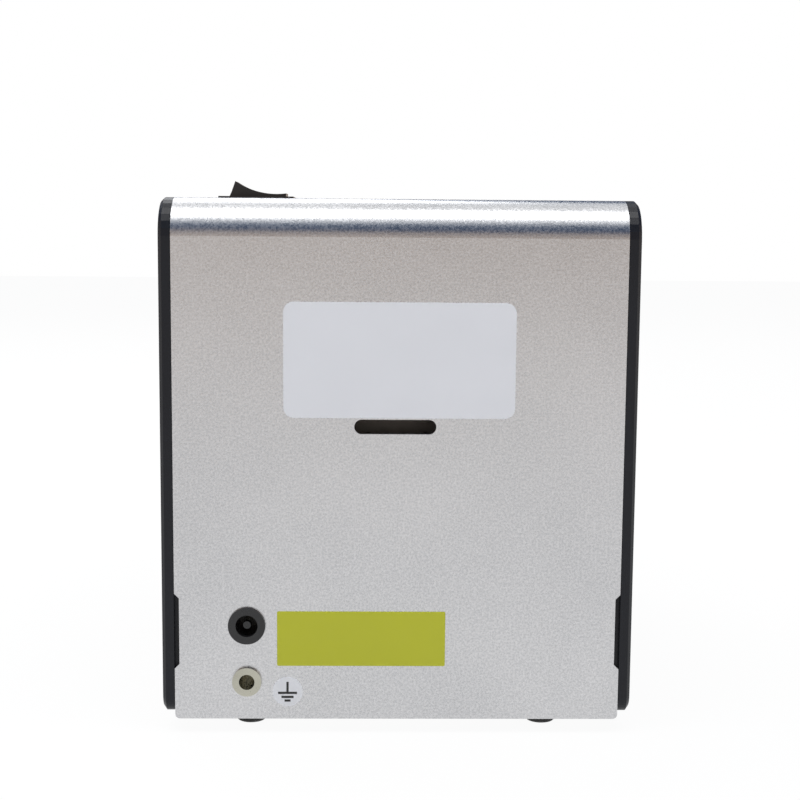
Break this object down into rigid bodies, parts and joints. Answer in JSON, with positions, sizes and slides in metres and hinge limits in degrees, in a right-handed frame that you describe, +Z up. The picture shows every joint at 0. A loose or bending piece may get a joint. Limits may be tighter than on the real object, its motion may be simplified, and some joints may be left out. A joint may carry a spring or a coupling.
{
  "type": "automatic screw feeder",
  "caption": "Bench-top screw feeder: hopper with lifting scoops, swinging brush and vibrating rail that leads to a sprung pickup gate, in a box of bent sheet and black side covers.",
  "frame": {"origin": "middle of the bounding box in X and Y, on the surface that the feet stand on", "axes": "+Z up, -Y towards the rail's pickup end (front), +Y towards the cover with the sockets (back)"},
  "size_m": [0.124, 0.181, 0.1465],
  "materials": {
    "sheet_metal": "fine blasted and clear anodised",
    "black_cover": "satin moulded",
    "steel_plate": "zinc plated",
    "rubber": "moulded",
    "steel_screw": "zinc plated",
    "black_screw": "black oxide",
    "ground_steel": "ground",
    "hopper_plastic": "moulded",
    "clear_acrylic": "clear",
    "motor_steel": "plated",
    "brass": "turned",
    "gear_plastic": "moulded",
    "aluminium": "milled and anodised",
    "rail_steel": "hardened and ground",
    "bracket_paint": "dark anodised",
    "black_plastic": "moulded",
    "bristle": "nylon",
    "board_green": "solder mask",
    "nickel": "nickel plated",
    "white_label": "satin film",
    "yellow_label": "satin film"
  },
  "bodies": {
    "housing": {"rear_cover": "sheet_metal", "front_cover": "sheet_metal", "base_plate": "steel_plate", "side_cover_left": "black_cover", "side_cover_right": "black_cover", "side_screws": "black_screw", "tie_rods": "ground_steel", "feet": "rubber", "foot_screws": "steel_screw", "front_bulkhead": "steel_plate", "rear_bulkhead": "steel_plate", "hopper": "hopper_plastic", "hopper_screws": "steel_screw", "lid_pins": "steel_screw", "motor_plate": "steel_plate", "motor_screws": "steel_screw", "gearbox": "motor_steel", "motor_can": "motor_steel", "shaft_bush": "brass", "guide_rods": "ground_steel", "rod_bridge": "aluminium", "brush_bushes": "brass", "spring_base": "aluminium", "rail_guard": "aluminium", "thumb_screw": "brass", "pickup_bracket": "bracket_paint", "pickup_pin": "ground_steel", "sensors": "black_plastic", "circuit_board": "board_green", "board_standoffs": "brass", "dc_jack": "black_plastic", "ground_socket": "nickel", "ground_nut": "steel_screw", "switch_housing": "black_plastic", "white_plate": "white_label", "signs": "yellow_label"},
    "lid": {"lid": "clear_acrylic"},
    "drive": {"drive_shaft": "ground_steel", "lift_pinion": "brass", "brush_pinion": "gear_plastic"},
    "lift": {"lift_carriage": "aluminium", "carriage_bushes": "brass", "lift_rack": "rail_steel", "rack_screws": "black_screw", "scoop_left": "rail_steel", "scoop_right": "rail_steel", "scoop_screws": "black_screw"},
    "brush": {"brush_shaft": "ground_steel", "sector_gear": "gear_plastic", "brush_arm": "black_plastic", "bristles": "bristle"},
    "rail": {"rail_left": "rail_steel", "rail_right": "rail_steel", "rail_holder": "aluminium", "leaf_springs": "rail_steel", "vibration_clamp": "aluminium", "vibration_motor": "motor_steel"},
    "weight": {"vibration_weight": "motor_steel"},
    "gate": {"pickup_gate": "rail_steel"},
    "rocker": {"rocker": "black_plastic"}
  },
  "joints": [
    {"name": "lid_hinge", "type": "hinge", "parent": "housing", "child": "lid", "pos_m": [0, 0.02, 0.1365], "axis": [-1, 0, 0], "range_deg": [0, 100]},
    {"name": "drive_turn", "type": "hinge", "parent": "housing", "child": "drive", "pos_m": [0, 0.045, 0.045], "axis": [0, -1, 0], "range_deg": [0, 180]},
    {"name": "scoop_lift", "type": "slide", "parent": "housing", "child": "lift", "axis": [0, 0, 1], "range_m": [0, 0.02356]},
    {"name": "brush_swing", "type": "hinge", "parent": "housing", "child": "brush", "pos_m": [0, 0, 0.126], "axis": [0, 1, 0], "range_deg": [0, 51.5]},
    {"name": "rail_vibration", "type": "slide", "parent": "housing", "child": "rail", "axis": [0, 1, 0], "range_m": [-0.0004, 0.0004], "stiffness_N_per_m": 6000},
    {"name": "eccentric_spin", "type": "hinge", "parent": "rail", "child": "weight", "pos_m": [0, -0.029, 0.06], "axis": [0, 1, 0], "continuous": true},
    {"name": "pickup_gate", "type": "hinge", "parent": "housing", "child": "gate", "pos_m": [0.012, -0.0873, 0.094], "axis": [0, 0, 1], "range_deg": [0, 60], "stiffness_Nm_per_rad": 0.005, "springref_deg": -20.05},
    {"name": "power_rocker", "type": "hinge", "parent": "housing", "child": "rocker", "pos_m": [0.04, 0.0445, 0.1398], "axis": [0, 1, 0], "range_deg": [0, 26]}
  ],
  "couplings": [
    {"joint": "drive_turn", "follows": "scoop_lift", "rad_per_m": 133.33},
    {"joint": "brush_swing", "follows": "scoop_lift", "rad_per_m": 38.095}
  ]
}
